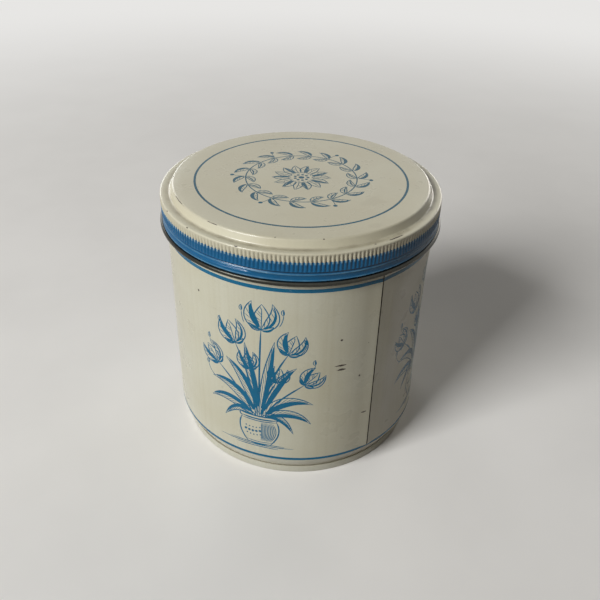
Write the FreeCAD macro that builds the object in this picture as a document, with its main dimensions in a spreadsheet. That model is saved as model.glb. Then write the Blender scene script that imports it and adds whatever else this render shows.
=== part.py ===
"""Round tinplate canister with a knurled screw lid.

The wall is one rolled sheet with an upright lock seam, a curled mouth and two rolled thread beads.
The bottom is a pressed end, double-seamed to the wall over a ring of sealing compound.
The lid is a pressing with a raised panel, a knurled skirt, thread ridges and a curled hem, and a loose
pulpboard liner sits in it. Millimetres, +Z up, origin under the centre of the bottom. The side that
faces -Y is the front.
"""
import FreeCAD
import Part
import math
import os

import Sketcher

# Driving sizes: name, value and meaning
SIZES = [
    ("wall_diameter", 105.0, "outside of the rolled wall"),
    ("rim_height", 105.25, "floor to the top of the curled mouth"),
    ("tin", 0.28, "thickness of the tinplate"),
    ("curl_width", 1.6, "width of the curled mouth"),
    ("curl_height", 1.7, "height of the curled mouth"),
    ("curl_chamfer", 0.47, "rounding of the curled mouth, as a chamfer"),
    ("seam_height", 3.4, "height of the double seam at the bottom"),
    ("layer_gap", 0.04, "air between the layers of the double seam"),
    ("joint_gap", 0.16, "open line between the double seam and the wall"),
    ("neck_inset", 2.4, "how far the double seam lies inside the wall"),
    ("neck_drop", 5.6, "height over which the wall necks in above the double seam"),
    ("seal_thickness", 0.45, "sealing compound under the wall's hook"),
    ("panel_sink", 2.6, "floor to the underside of the sunk bottom panel"),
    ("step_radius", 39.0, "radius of the expansion step in the bottom panel"),
    ("step_rise", 0.6, "height of the expansion step"),
    ("step_run", 1.2, "width of the expansion step"),
    ("lock_azimuth", 33.9, "lock seam, degrees to the right of the front"),
    ("lock_half_angle", 8.0, "half of the flattened wall at the lock seam, degrees"),
    ("lock_proud", 0.45, "how far the lock seam peaks out of the round wall"),
    ("lock_width", 5.0, "width of the folded layers inside the lock seam"),
    ("lock_layers", 0.55, "thickness of the folded layers inside the lock seam"),
    ("lock_line", 0.28, "width and depth of the open line at the fold"),
    ("lead", 4.0, "rise of the lid in one turn"),
    ("thread_starts", 2, "rolled threads round the tin"),
    ("thread_angle", 80.0, "length of each rolled thread, degrees"),
    ("thread_azimuth", -16.7, "upper end of a lid thread, degrees to the right of the front"),
    ("bead_height", 0.78, "how far a thread bead stands out of the wall"),
    ("bead_base", 1.4, "height of a thread bead at its foot"),
    ("bead_crest", 0.56, "height of a thread bead at its crest"),
    ("ridge_clearance", 0.45, "air between a lid thread ridge and the wall"),
    ("ridge_lift", 1.25, "hem to the middle of a lid thread ridge at its lower end"),
    ("ridge_base", 1.14, "height of a lid thread ridge at its foot"),
    ("ridge_crest", 0.5, "height of a lid thread ridge at its crest"),
    ("thread_clearance", 0.29, "air between a thread bead and the lid skirt"),
    ("liner_thickness", 0.9, "pulpboard liner"),
    ("liner_clearance", 0.05, "air above and below the liner"),
    ("liner_side_gap", 0.3, "air round the liner"),
    ("panel_rise", 3.1, "gutter to the top of the raised lid panel"),
    ("gutter_inset", 1.9, "foot of the raised panel inside the wall's outside"),
    ("riser_run", 1.2, "width of the slope up to the raised panel"),
    ("shoulder_rise", 0.3, "gutter to the top of the lid's shoulder"),
    ("shoulder_chamfer", 0.6, "rounding of the lid's shoulder, as a chamfer"),
    ("knurl_height", 6.5, "height of the knurled band"),
    ("knurl_proud", 0.4, "how far the knurls stand out of the skirt"),
    ("flute_depth", 0.36, "depth of the flutes between the knurls"),
    ("knurl_count", 228, "knurls round the lid"),
    ("band_height", 3.68, "smooth skirt that carries the thread"),
    ("hem_height", 1.7, "height of the curled hem"),
    ("hem_width", 1.43, "width of the curled hem"),
    ("hem_chamfer", 0.45, "rounding of the curled hem, as a chamfer"),
]

NAMES = [name for name, size, meaning in SIZES]


def make_sheet():
    """Write the driving sizes into a spreadsheet with one alias each."""
    cells = doc.addObject("Spreadsheet::Sheet", "Sizes")
    for row, (name, size, meaning) in enumerate(SIZES, start=1):
        cells.set("A%d" % row, str(size))
        cells.setAlias("A%d" % row, name)
        cells.set("B%d" % row, meaning)
    doc.recompute()
    return cells


doc = FreeCAD.newDocument("screw_lid_tin")
sheet = make_sheet()


def bind(text):
    """Put the sheet's name before every size named in an expression."""
    words = []
    word = ""
    for letter in text + " ":
        if letter.isalnum() or letter == "_":
            word += letter
            continue
        words.append("Sizes." + word if word in NAMES else word)
        words.append(letter)
        word = ""
    return "(" + "".join(words).strip() + ")"


def plus(first, text):
    """Add the sizes in a text to a bound expression."""
    return "(" + first + " + " + bind(text) + ")"


def minus(first, text):
    """Take the sizes in a text from a bound expression."""
    return "(" + first + " - " + bind(text) + ")"


def measure(expression):
    """Give the present number of a bound expression."""
    result = sheet.evalExpression(expression)
    return float(getattr(result, "Value", result))


# Radii of the wall and, outwards from it, of the lid
WALL = bind("wall_diameter / 2")
WALL_INSIDE = minus(WALL, "tin")
BEAD = plus(WALL, "bead_height")
RIDGE = plus(WALL, "ridge_clearance")
SKIRT = plus(BEAD, "thread_clearance")
BAND = plus(SKIRT, "tin")
KNURL = plus(BAND, "knurl_proud")
HEM = plus(SKIRT, "hem_width")
RISER_FOOT = minus(WALL, "gutter_inset")
RISER_TOP = minus(RISER_FOOT, "riser_run")

# Radii of the double seam, inwards: folded outer layers, folded wall, and the inner wall of the bottom
SEAM = minus(WALL, "neck_inset")
FOLD_INSIDE = minus(SEAM, "2 * tin + layer_gap")
HOOK_OUTSIDE = minus(FOLD_INSIDE, "layer_gap")
HOOK_INSIDE = minus(HOOK_OUTSIDE, "2 * tin + layer_gap")
CHUCK_OUTSIDE = minus(HOOK_INSIDE, "layer_gap")
CHUCK_INSIDE = minus(CHUCK_OUTSIDE, "tin")

# Heights of the lid, from the mouth of the tin up and then down the skirt
RIM = bind("rim_height")
LINER_FOOT = plus(RIM, "liner_clearance")
LINER_TOP = plus(LINER_FOOT, "liner_thickness")
GUTTER = plus(LINER_TOP, "liner_clearance + tin")
PANEL = plus(GUTTER, "panel_rise")
SHOULDER = plus(GUTTER, "shoulder_rise")
KNURL_TOP = minus(SHOULDER, "shoulder_chamfer")
KNURL_FOOT = minus(KNURL_TOP, "knurl_height")
HEM_TOP = minus(KNURL_FOOT, "band_height")
HEM_FOOT = minus(HEM_TOP, "hem_height")

# The lid's ridges start above the hem and rise to the right, and the beads lie midway between their paths
RIDGE_START = plus(HEM_TOP, "ridge_lift")
BEAD_START = plus(RIDGE_START, "lead / thread_starts / 2")
THREAD_RISE = bind("lead * thread_angle / 360")
THREAD_TURN = bind("thread_azimuth - thread_angle - 90")
LOCK_TURN = bind("lock_azimuth - thread_azimuth + thread_angle")

# Heights of the bottom
NECK_FOOT = bind("seam_height + joint_gap")
NECK_TOP = plus(NECK_FOOT, "neck_drop")
SEAL_FOOT = bind("tin + layer_gap")
SEAL_TOP = plus(SEAL_FOOT, "seal_thickness")
HOOK_FOOT = plus(SEAL_TOP, "layer_gap")


def origin_feature(body, role):
    """Find one of a body's own origin planes or axes."""
    for feature in body.Origin.OriginFeatures:
        if feature.Role == role:
            return feature
    raise ValueError(role)


def make_body(name):
    """Start a sub-part."""
    body = doc.addObject("PartDesign::Body", name)
    body.Label = name
    return body


def start_sketch(body, name, plane):
    """Start a sketch on one of the body's own origin planes."""
    sketch = body.newObject("Sketcher::SketchObject", name)
    sketch.AttachmentSupport = [(origin_feature(body, plane), "")]
    sketch.MapMode = "FlatFace"
    return sketch


def draw(sketch, corners):
    """Draw a closed outline and pin each corner to its two expressions, across and up."""
    points = [FreeCAD.Vector(measure(across), measure(up), 0) for across, up in corners]
    count = len(points)
    for index, point in enumerate(points):
        sketch.addGeometry(Part.LineSegment(point, points[(index + 1) % count]))
    for index, (across, up) in enumerate(corners):
        sketch.addConstraint(Sketcher.Constraint("Coincident", (index - 1) % count, 2, index, 1))
        for kind, expression, axis in (("DistanceX", across, -2), ("DistanceY", up, -1)):
            if expression == "0":
                sketch.addConstraint(Sketcher.Constraint("PointOnObject", index, 1, axis))
                continue
            size = measure(expression)
            number = sketch.addConstraint(Sketcher.Constraint(kind, -1, 1, index, 1, size))
            sketch.setExpression("Constraints[%d]" % number, expression)


def revolve(body, name, corners):
    """Turn an outline of (radius, height) corners about the Z axis."""
    sketch = start_sketch(body, name + "_outline", "XZ_Plane")
    draw(sketch, corners)
    feature = body.newObject("PartDesign::Revolution", name)
    feature.Profile = sketch
    feature.ReferenceAxis = (sketch, ["V_Axis"])
    feature.Angle = 360


def level_sketch(body, name, height, turn):
    """Start a sketch on a level plane at a height, turned about the Z axis."""
    sketch = start_sketch(body, name + "_outline", "XY_Plane")
    sketch.AttachmentOffset = FreeCAD.Placement(
        FreeCAD.Vector(0, 0, measure(height)),
        FreeCAD.Rotation(FreeCAD.Vector(0, 0, 1), measure(turn)),
    )
    sketch.setExpression("AttachmentOffset.Base.z", height)
    sketch.setExpression("AttachmentOffset.Rotation.Angle", turn)
    return sketch


def raise_outline(body, kind, name, sketch, low, high):
    """Pad or pocket a level sketch from one height up to another."""
    feature = body.newObject("PartDesign::" + kind, name)
    feature.Profile = sketch
    feature.setExpression("Length", high + " - " + low)
    feature.Reversed = kind == "Pocket"


def helix(body, kind, name, start, inner, inner_height, outer, outer_height):
    """Sweep a trapezium up a right-hand helix from the body's own +X side."""
    sketch = start_sketch(body, name + "_outline", "XZ_Plane")
    draw(sketch, [
        (inner, minus(start, inner_height + " / 2")),
        (outer, minus(start, outer_height + " / 2")),
        (outer, plus(start, outer_height + " / 2")),
        (inner, plus(start, inner_height + " / 2")),
    ])
    feature = body.newObject("PartDesign::" + kind, name)
    feature.Profile = sketch
    feature.ReferenceAxis = (sketch, ["V_Axis"])
    feature.Mode = "pitch-height-angle"
    feature.setExpression("Pitch", bind("lead"))
    feature.setExpression("Height", THREAD_RISE)
    return feature


def repeat_threads(body, name, features):
    """Repeat thread features evenly about the Z axis."""
    pattern = body.newObject("PartDesign::PolarPattern", name)
    pattern.Originals = features
    pattern.Axis = (origin_feature(body, "Z_Axis"), [""])
    pattern.Angle = 360
    pattern.setExpression("Occurrences", bind("thread_starts"))
    body.Tip = pattern


def turn_to_thread(body):
    """Set the body's own +X side to the lower end of the first thread."""
    body.Placement = FreeCAD.Placement(
        FreeCAD.Vector(0, 0, 0),
        FreeCAD.Rotation(FreeCAD.Vector(0, 0, 1), measure(THREAD_TURN)),
    )
    body.setExpression("Placement.Rotation.Angle", THREAD_TURN)


def make_body_wall():
    """Rolled wall with curled mouth, necked foot with its hook, lock seam and thread beads."""
    body = make_body("body_wall")
    curl_foot = minus(RIM, "curl_height")
    curl_inside = minus(WALL, "curl_width")
    revolve(body, "rolled_wall", [
        (WALL, NECK_TOP),
        (WALL, minus(RIM, "curl_chamfer")),
        (minus(WALL, "curl_chamfer"), RIM),
        (plus(curl_inside, "curl_chamfer"), RIM),
        (curl_inside, minus(RIM, "curl_chamfer")),
        (curl_inside, curl_foot),
        (WALL_INSIDE, curl_foot),
        (WALL_INSIDE, NECK_TOP),
        (HOOK_INSIDE, plus(NECK_FOOT, "tin")),
        (HOOK_INSIDE, HOOK_FOOT),
        (HOOK_OUTSIDE, HOOK_FOOT),
        (HOOK_OUTSIDE, NECK_FOOT),
    ])
    add_lock_seam(body, curl_foot)
    bead = helix(
        body, "AdditiveHelix", "thread_bead", BEAD_START,
        minus(WALL, "tin / 2"), "bead_base", BEAD, "bead_crest",
    )
    repeat_threads(body, "thread_beads", [bead])
    turn_to_thread(body)
    return body


def add_lock_seam(body, curl_foot):
    """Peaked wall, folded inner layers and open line of the upright lock seam."""
    under_hem = plus(HEM_FOOT, "hem_height / 2")
    sheet_middle = minus(WALL, "tin / 2")
    edge = minus(WALL, "tin / 4")
    half_angle = bind("lock_half_angle * 1 deg")
    flank = "%s * cos(%s)" % (edge, half_angle)
    side = "%s * sin(%s)" % (edge, half_angle)
    peak = plus(WALL, "lock_proud")
    outline = level_sketch(body, "lock_peak", NECK_TOP, LOCK_TURN)
    draw(outline, [(sheet_middle, "0"), (flank, "-1 * " + side), (peak, "0"), (flank, side)])
    raise_outline(body, "Pad", "lock_peak", outline, NECK_TOP, under_hem)

    outline = level_sketch(body, "lock_fold", NECK_TOP, LOCK_TURN)
    draw(outline, block(minus(WALL_INSIDE, "lock_layers"), sheet_middle, bind("lock_width / 2")))
    raise_outline(body, "Pad", "lock_fold", outline, NECK_TOP, minus(curl_foot, "curl_width"))

    outline = level_sketch(body, "lock_line", NECK_TOP, LOCK_TURN)
    draw(outline, block(minus(peak, "lock_line"), plus(peak, "lock_line"), bind("lock_line / 2")))
    raise_outline(body, "Pocket", "lock_line", outline, NECK_TOP, under_hem)


def block(near, far, half):
    """Corners of a rectangle that lies evenly about the sketch's own across axis."""
    return [(near, "-1 * " + half), (far, "-1 * " + half), (far, half), (near, half)]


def make_base_end():
    """Pressed bottom with a sunk, stepped panel and the outer layers of the double seam."""
    body = make_body("base_end")
    top = bind("seam_height")
    floor = bind("tin")
    sink = bind("panel_sink")
    panel = minus(sink, "step_rise")
    step_in = bind("step_radius - step_run / 2")
    step_out = bind("step_radius + step_run / 2")
    revolve(body, "pressed_end", [
        ("0", panel),
        (step_in, panel),
        (step_out, sink),
        (CHUCK_INSIDE, sink),
        (CHUCK_INSIDE, "0"),
        (SEAM, "0"),
        (SEAM, top),
        (FOLD_INSIDE, top),
        (FOLD_INSIDE, floor),
        (CHUCK_OUTSIDE, floor),
        (CHUCK_OUTSIDE, plus(sink, "tin")),
        (minus(step_out, "tin / 2"), plus(sink, "tin")),
        (minus(step_in, "tin / 2"), plus(panel, "tin")),
        ("0", plus(panel, "tin")),
    ])
    return body


def make_base_seal():
    """Wedge-shaped ring of sealing compound under the wall's hook."""
    body = make_body("base_seal")
    inside = plus(CHUCK_OUTSIDE, "layer_gap")
    outside = minus(FOLD_INSIDE, "layer_gap")
    revolve(body, "compound_ring", [
        (inside, SEAL_FOOT),
        (outside, SEAL_FOOT),
        (outside, SEAL_TOP),
    ])
    return body


def make_lid_shell():
    """Pressed lid with raised panel, gutter, knurled skirt, thread ridges and curled hem."""
    body = make_body("lid_shell")
    revolve(body, "pressed_lid", [
        ("0", PANEL),
        (RISER_TOP, PANEL),
        (RISER_FOOT, GUTTER),
        (minus(KNURL, "shoulder_chamfer"), SHOULDER),
        (KNURL, KNURL_TOP),
        (BAND, KNURL_TOP),
        (BAND, HEM_TOP),
        (minus(HEM, "hem_chamfer"), HEM_TOP),
        (HEM, minus(HEM_TOP, "hem_chamfer")),
        (HEM, plus(HEM_FOOT, "hem_chamfer")),
        (minus(HEM, "hem_chamfer"), HEM_FOOT),
        (SKIRT, HEM_FOOT),
        (SKIRT, minus(SHOULDER, "tin")),
        (minus(RISER_FOOT, "tin"), minus(GUTTER, "tin")),
        (minus(RISER_TOP, "tin"), minus(PANEL, "tin")),
        ("0", minus(PANEL, "tin")),
    ])
    add_knurls(body)
    ridge = helix(
        body, "AdditiveHelix", "thread_ridge", RIDGE_START,
        RIDGE, "ridge_crest", plus(SKIRT, "tin / 2"), "ridge_base",
    )
    groove = helix(
        body, "SubtractiveHelix", "thread_groove", RIDGE_START,
        plus(RIDGE, "tin"), "(ridge_crest - tin / 2)", plus(BAND, "tin"), "(ridge_base - tin / 2)",
    )
    repeat_threads(body, "thread_ridges", [ridge, groove])
    turn_to_thread(body)
    return body


def add_knurls(body):
    """Ring of upright knurls with sharp flutes, rolled into the skirt."""
    outline = level_sketch(body, "knurls", KNURL_FOOT, "0")
    crest = measure(KNURL)
    root = measure(minus(KNURL, "flute_depth"))
    corner_count = 2 * round(measure(bind("knurl_count")))
    points = []
    for index in range(corner_count):
        radius = root if index % 2 else crest
        angle = 2 * math.pi * index / corner_count
        points.append(FreeCAD.Vector(radius * math.cos(angle), radius * math.sin(angle), 0))
    ring = [Part.LineSegment(point, points[index - 1]) for index, point in enumerate(points)]
    ring.append(Part.Circle(FreeCAD.Vector(0, 0, 0), FreeCAD.Vector(0, 0, 1), measure(plus(SKIRT, "tin / 2"))))
    outline.addGeometry(ring)
    raise_outline(body, "Pad", "knurls", outline, KNURL_FOOT, KNURL_TOP)


def make_lid_liner():
    """Loose pulpboard disc between the lid's gutter and the curled mouth."""
    body = make_body("lid_liner")
    edge = minus(SKIRT, "liner_side_gap")
    revolve(body, "disc", [("0", LINER_FOOT), (edge, LINER_FOOT), (edge, LINER_TOP), ("0", LINER_TOP)])
    return body


def check(parts):
    """Stop if any object failed, or a sub-part is empty, broken or in more than one piece."""
    for item in doc.Objects:
        if "Invalid" in item.State or "Error" in item.State:
            raise RuntimeError("%s failed: %s" % (item.Name, item.State))
    for part in parts:
        if part.Shape.isNull() or not part.Shape.isValid() or len(part.Shape.Solids) != 1:
            raise RuntimeError("%s is not one valid solid" % part.Label)


PARTS = [make_body_wall(), make_base_end(), make_base_seal(), make_lid_shell(), make_lid_liner()]
doc.recompute()
check(PARTS)
os.makedirs("parts", exist_ok=True)
for part in PARTS:
    part.Shape.exportStep("parts/%s.step" % part.Label)
    print("%s: volume %.1f mm3, %d faces" % (part.Label, part.Shape.Volume, len(part.Shape.Faces)))
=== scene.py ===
"""Looks of the screw-lid tin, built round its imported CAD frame.

Sizes are in millimetres until they reach Blender. Azimuths are in degrees, from the front to the right.
"""
import math

import bmesh
import bpy
import numpy as np
from mathutils import Matrix, Vector
from mathutils.geometry import delaunay_2d_cdt


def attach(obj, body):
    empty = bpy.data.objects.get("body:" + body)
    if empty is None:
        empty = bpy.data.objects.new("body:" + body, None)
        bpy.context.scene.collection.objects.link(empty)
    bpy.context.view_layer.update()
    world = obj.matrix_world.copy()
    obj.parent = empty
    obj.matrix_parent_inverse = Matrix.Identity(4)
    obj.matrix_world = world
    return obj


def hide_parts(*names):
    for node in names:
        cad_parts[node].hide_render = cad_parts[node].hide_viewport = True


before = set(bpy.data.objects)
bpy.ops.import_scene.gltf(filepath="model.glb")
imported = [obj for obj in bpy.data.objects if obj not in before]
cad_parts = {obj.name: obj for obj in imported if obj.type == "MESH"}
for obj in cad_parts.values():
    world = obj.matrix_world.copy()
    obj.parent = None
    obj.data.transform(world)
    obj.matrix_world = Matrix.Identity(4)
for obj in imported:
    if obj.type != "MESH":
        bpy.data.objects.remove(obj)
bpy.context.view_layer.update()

MM = 0.001

# Sizes of the pieces, as the CAD model has them, and a few finer ones that only the meshes need
WALL = 52.5
TIN = 0.28
RIM = 105.25
CURL_WIDTH = 1.6
CURL_HEIGHT = 1.7
CURL_END = 51.9
SEAM = 50.1
SEAM_TOP = 3.4
NECK_FOOT = 3.56
NECK_TOP = 9.16
FOLD_INSIDE = 49.5
HOOK_OUTSIDE = 49.46
HOOK_INSIDE = 48.86
HOOK_FOOT = 0.81
CHUCK_OUTSIDE = 48.82
CHUCK_INSIDE = 48.54
PANEL_SINK = 2.6
STEP_RADIUS = 39.0
STEP_RISE = 0.6
BASE_CAP = 12.0
SKIRT = 53.57
BAND = 53.85
KNURL = 54.25
FLUTE_DEPTH = 0.36
KNURL_COUNT = 228
HEM = 55.0
HEM_TOP = 96.05
HEM_FOOT = 94.35
RISER_TOP = 49.4
RISER_FOOT = 50.6
GUTTER = 106.53
GUTTER_END = 53.1
SHOULDER = 106.83
SHOULDER_START = 53.3
SHOULDER_ROUND = 0.62
PANEL = 109.63
PANEL_FLAT = 45.0
LID_CAP = 20.0
KNURL_TOP = 106.23
KNURL_FOOT = 99.73
LEAD = 4.0
THREAD_START = -96.7
THREAD_ANGLE = 80.0
RIDGE_START = 97.3
RIDGE_DEPTH = 0.6
RIDGE_HALF = 0.62
BEAD_START = 98.3
BEAD_HEIGHT = 0.78
BEAD_HALF = 0.8
BEAD_SPAN = (BEAD_START - 1.4, BEAD_START + 2.3)
BEAD_ROW = 0.25
LOCK_AZIMUTH = 33.9
LOCK_PROUD = 0.45
LOCK_HALF_ANGLE = 8.0
LOCK_LAYERS = 0.55
LOCK_TOP = 95.2
LOCK_GROOVE = 0.3
LOCK_GAP = (0.13, 0.2)
LOCK_FOLD = (2.62, 2.84)

# Flattened side of the tin: angles from the lock seam in degrees, depth, and heights over which it fades
DENT_START = 6.4
DENT_RUN = 13.0
DENT_END = 72.0
DENT_DEPTH = 0.95
DENT_FOOT = (11.2, 25.2)
DENT_TOP = (74.4, 90.4)

# The print: heights of its stripes, ends and colour change, radii of the lid's ring, and the pictures' places
UPPER_STRIPE = (90.52, 92.06)
LOWER_STRIPE = (9.6, 10.85)
PRINT_FOOT = 3.31
PRINT_TOP = 95.3
SKIRT_PRINT = 103.5
RING = (40.45, 41.35)
PICTURE_RADIUS = 38.0
PICTURE_HALF_ANGLE = 29
PICTURE_FOOT = 13.2
PICTURE_TOP = 89.4
PICTURE_ROWS = 20
PICTURE_AZIMUTHS = (-16, 74, 164, -106)

# Rolled groove and lip under the knurls, and lip above the hem: radius, and height from knurls or hem
KNURL_GROOVE = (
    (53.8, -0.1), (53.68, -0.24), (53.62, -0.42), (53.68, -0.6), (53.84, -0.76), (53.98, -0.9),
    (54.05, -1.06), (54.02, -1.26), (53.94, -1.48), (53.87, -1.72),
)
HEM_LIP = ((53.87, 0.78), (53.94, 0.6), (54.03, 0.46), (54.08, 0.32), (54.05, 0.18), (53.95, 0.08))

# Numbers of a piece's materials: the fourth is the seam's gap on the wall and the print on the lid
CREAM = 0
BLUE = 1
METAL = 2
GAP = 3
LID_PRINT = 3

# The photo's camera, as fitted to the tin's circles: turns in radians, lens and place in millimetres
CAMERA_YAW = 0.0025
CAMERA_PITCH = 0.5942
CAMERA_ROLL = 0.0245
CAMERA_LENS = 41.49
CAMERA_PLACE = (0, -247.97, 219.87)


def smooth_step(low, high, value):
    """Rise from 0 to 1 between two values."""
    share = np.clip((value - low) / (high - low), 0, 1)
    return share * share * (3 - 2 * share)


def rounded(corners, turn=15):
    """Line through (radius, height, fillet) corners, with arcs in steps of some degrees at the fillets."""
    path = []
    for index, (across, up, fillet) in enumerate(corners):
        point = np.array([across, up])
        if not fillet or index in (0, len(corners) - 1):
            path.append(point)
            continue
        back = np.array(corners[index - 1][:2]) - point
        ahead = np.array(corners[index + 1][:2]) - point
        back /= np.linalg.norm(back)
        ahead /= np.linalg.norm(ahead)
        half = math.acos(max(-1, min(1, float(back @ ahead)))) / 2
        reach = fillet / math.tan(half)
        middle = back + ahead
        middle /= np.linalg.norm(middle)
        centre = point + middle * fillet / math.sin(half)
        start = point + back * reach - centre
        sweep = math.pi - 2 * half
        if back[1] * ahead[0] - back[0] * ahead[1] < 0:
            sweep = -sweep
        count = max(2, math.ceil(math.degrees(abs(sweep)) / turn))
        for number in range(count + 1):
            angle = sweep * number / count
            cosine, sine = math.cos(angle), math.sin(angle)
            path.append(centre + (start[0] * cosine - start[1] * sine, start[0] * sine + start[1] * cosine))
    return path


class Shell:
    """Points, faces and material numbers of one mesh, in millimetres."""

    def __init__(self):
        self.points = []
        self.faces = []
        self.slots = []
        self.normals = {}

    def point(self, place):
        self.points.append(tuple(float(number) for number in place))
        return len(self.points) - 1

    def ring(self, radii, heights, azimuths):
        """Add one ring of points and give their numbers."""
        radii = np.broadcast_to(radii, azimuths.shape)
        heights = np.broadcast_to(heights, azimuths.shape)
        angles = np.radians(azimuths)
        places = np.stack([radii * np.sin(angles), -radii * np.cos(angles), heights], -1)
        return [self.point(place) for place in places]

    def face(self, corners, slot):
        self.faces.append(tuple(corners))
        self.slots.append(slot)

    def join(self, first, second, slot, skip=(), dark=()):
        """Fill the strip between two rings, where one may have a multiple of the other's points."""
        if len(first) < len(second):
            self.fan(first, second, slot)
        elif len(first) > len(second):
            self.fan(second, first, slot)
        else:
            count = len(first)
            for index in range(count):
                if index in skip:
                    continue
                after = (index + 1) % count
                here = GAP if index in dark and slot != METAL else slot
                self.face((first[index], first[after], second[after], second[index]), here)

    def fan(self, coarse, fine, slot):
        """Fill a strip whose fine ring has several points for each one of the coarse ring."""
        share = len(fine) // len(coarse)
        half = share // 2
        for index, here in enumerate(coarse):
            there = coarse[(index + 1) % len(coarse)]
            row = [fine[(index * share + step) % len(fine)] for step in range(share + 1)]
            for step in range(share):
                apex = here if step < half else there
                self.face((apex, row[step], row[step + 1]), slot)
            self.face((here, row[half], there), slot)

    def cap(self, ring, middle, slot):
        """Close a ring with a fan to one point on the axis."""
        centre = self.point((0, 0, middle))
        for index, here in enumerate(ring):
            self.face((here, ring[(index + 1) % len(ring)], centre), slot)

    def build(self, name, materials):
        """Make the Blender object, with its faces turned outwards and shaded smooth."""
        used = sorted({corner for face in self.faces for corner in face})
        number = {old: new for new, old in enumerate(used)}
        faces = [[number[corner] for corner in face] for face in self.faces]
        mesh = bpy.data.meshes.new(name)
        mesh.from_pydata([Vector(self.points[old]) * MM for old in used], [], faces)
        for index, slot in enumerate(self.slots):
            mesh.polygons[index].material_index = slot
        for material in materials:
            mesh.materials.append(material)
        tool = bmesh.new()
        tool.from_mesh(mesh)
        bmesh.ops.recalc_face_normals(tool, faces=tool.faces)
        tool.to_mesh(mesh)
        tool.free()
        mesh.shade_smooth()
        if self.normals:
            normals = [self.normals.get(old, (0, 0, 0)) for old in used]
            mesh.normals_split_custom_set_from_vertices(normals)
        mesh.update()
        piece = bpy.data.objects.new(name, mesh)
        bpy.context.scene.collection.objects.link(piece)
        return piece


def thread(azimuths, height, start, half_height):
    """How far a two-start rolled thread stands out, from 0 to 1, at each azimuth of one height."""
    total = np.zeros(azimuths.shape)
    for turn in (0, 180):
        along = (azimuths - THREAD_START - turn) % 360
        centre = start + LEAD * along / 360
        lift = np.clip(1 - np.abs(height - centre) / half_height, 0, 1)
        ends = smooth_step(0, 5, along) * (1 - smooth_step(THREAD_ANGLE - 4, THREAD_ANGLE, along))
        total = np.maximum(total, smooth_step(0, 1, lift) * ends)
    return total


# Line drawing, as outlines in millimetres

class Drawing:
    """Closed outlines that are printed in one ink."""

    def __init__(self):
        self.outlines = []

    def shape(self, points):
        points = [Vector(point) for point in points]
        area = sum(a.x * b.y - b.x * a.y for a, b in zip(points, points[1:] + points[:1]))
        self.outlines.append(points if area > 0 else points[::-1])

    def line(self, points, width, pointed=True):
        """Pen stroke along points, which thins at its ends."""
        points = [Vector(point) for point in points]
        left, right = [], []
        last = len(points) - 1
        for index, point in enumerate(points):
            along = points[min(index + 1, last)] - points[max(index - 1, 0)]
            across = Vector((-along.y, along.x)).normalized()
            share = index / last
            half = width / 2
            if pointed:
                half *= 0.3 + 0.7 * min(1, 6 * share, 6 * (1 - share))
            left.append(point + across * half)
            right.append(point - across * half)
        self.shape(left + right[::-1])

    def dot(self, centre, radius):
        sides = 10
        self.shape([Vector(centre) + outward(index / sides) * radius for index in range(sides)])

    def leaf(self, start, bend, end, breadth, hatches, pen, filled=0.0):
        """Pointed leaf or petal on a bent midrib, hatched on one side."""
        count = 12
        rib = [curve(start, bend, end, index / count) for index in range(count + 1)]
        sides = []
        for index, point in enumerate(rib):
            along = rib[min(index + 1, count)] - rib[max(index - 1, 0)]
            across = Vector((-along.y, along.x)).normalized()
            sides.append(across * breadth * math.sin(math.pi * (index / count) ** 0.8))
        self.line([point + side for point, side in zip(rib, sides)], pen)
        self.line([point - side for point, side in zip(rib, sides)], pen)
        if filled:
            edge = [point - side * filled for point, side in zip(rib, sides)]
            self.shape(rib[1:-1] + edge[1:-1][::-1])
        else:
            self.line(rib[: count - 1], pen * 0.8)
        for number in range(hatches):
            share = 0.12 + 0.66 * number / max(1, hatches - 1)
            index = int(share * count)
            reach = min(count, index + 2)
            target = rib[reach] + sides[reach] * 0.92
            self.line([rib[index], rib[index].lerp(target, 0.5), target], pen * 0.62)


def outward(turn):
    """Direction from the middle at a share of a full turn."""
    return Vector((math.cos(2 * math.pi * turn), math.sin(2 * math.pi * turn)))


def curve(start, bend, end, share):
    """Point on a curve from start to end that leans towards bend."""
    start, bend, end = Vector(start), Vector(bend), Vector(end)
    return start * (1 - share) ** 2 + bend * 2 * share * (1 - share) + end * share ** 2


def strand(start, bend, end):
    """Points along such a curve."""
    count = 12
    return [curve(start, bend, end, index / count) for index in range(count + 1)]


def tulip(drawing, foot, lean, size, pen):
    """Three-petalled flower head that opens along a direction."""
    turn = Matrix.Rotation(math.radians(-lean), 2)

    def place(across, up):
        return Vector(foot) + turn @ Vector((across * size, up * size))

    drawing.leaf(place(0, 0), place(-0.62, 0.4), place(-0.34, 1.06), 0.2 * size, 5, pen, 0.9)
    drawing.leaf(place(0, 0), place(0.62, 0.4), place(0.34, 1.06), 0.2 * size, 5, pen, 0.5)
    drawing.leaf(place(0, 0.02), place(0.02, 0.5), place(0, 1.0), 0.27 * size, 6, pen, 0.0)
    drawing.leaf(place(0, 0), place(-0.3, 0.02), place(-0.42, 0.2), 0.07 * size, 0, pen, 1.0)
    drawing.leaf(place(0, 0), place(0.3, 0.02), place(0.42, 0.2), 0.07 * size, 0, pen, 1.0)


def daisy(drawing, radius, petals, pen):
    """Round flower at the middle, seen from the front."""
    for number in range(petals):
        far = outward(number / petals) * radius
        near = far * 0.34
        middle = (near + far) / 2 + Vector((-far.y, far.x)) * 0.08
        filled = 0.75 if number % 2 else 0.0
        drawing.leaf(near, middle, far, radius * 0.15, 3, pen, filled)
    seeds = 9
    for number in range(seeds):
        drawing.dot(outward(number / seeds) * radius * 0.22, radius * 0.055)
    drawing.dot((0, 0), radius * 0.1)


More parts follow.
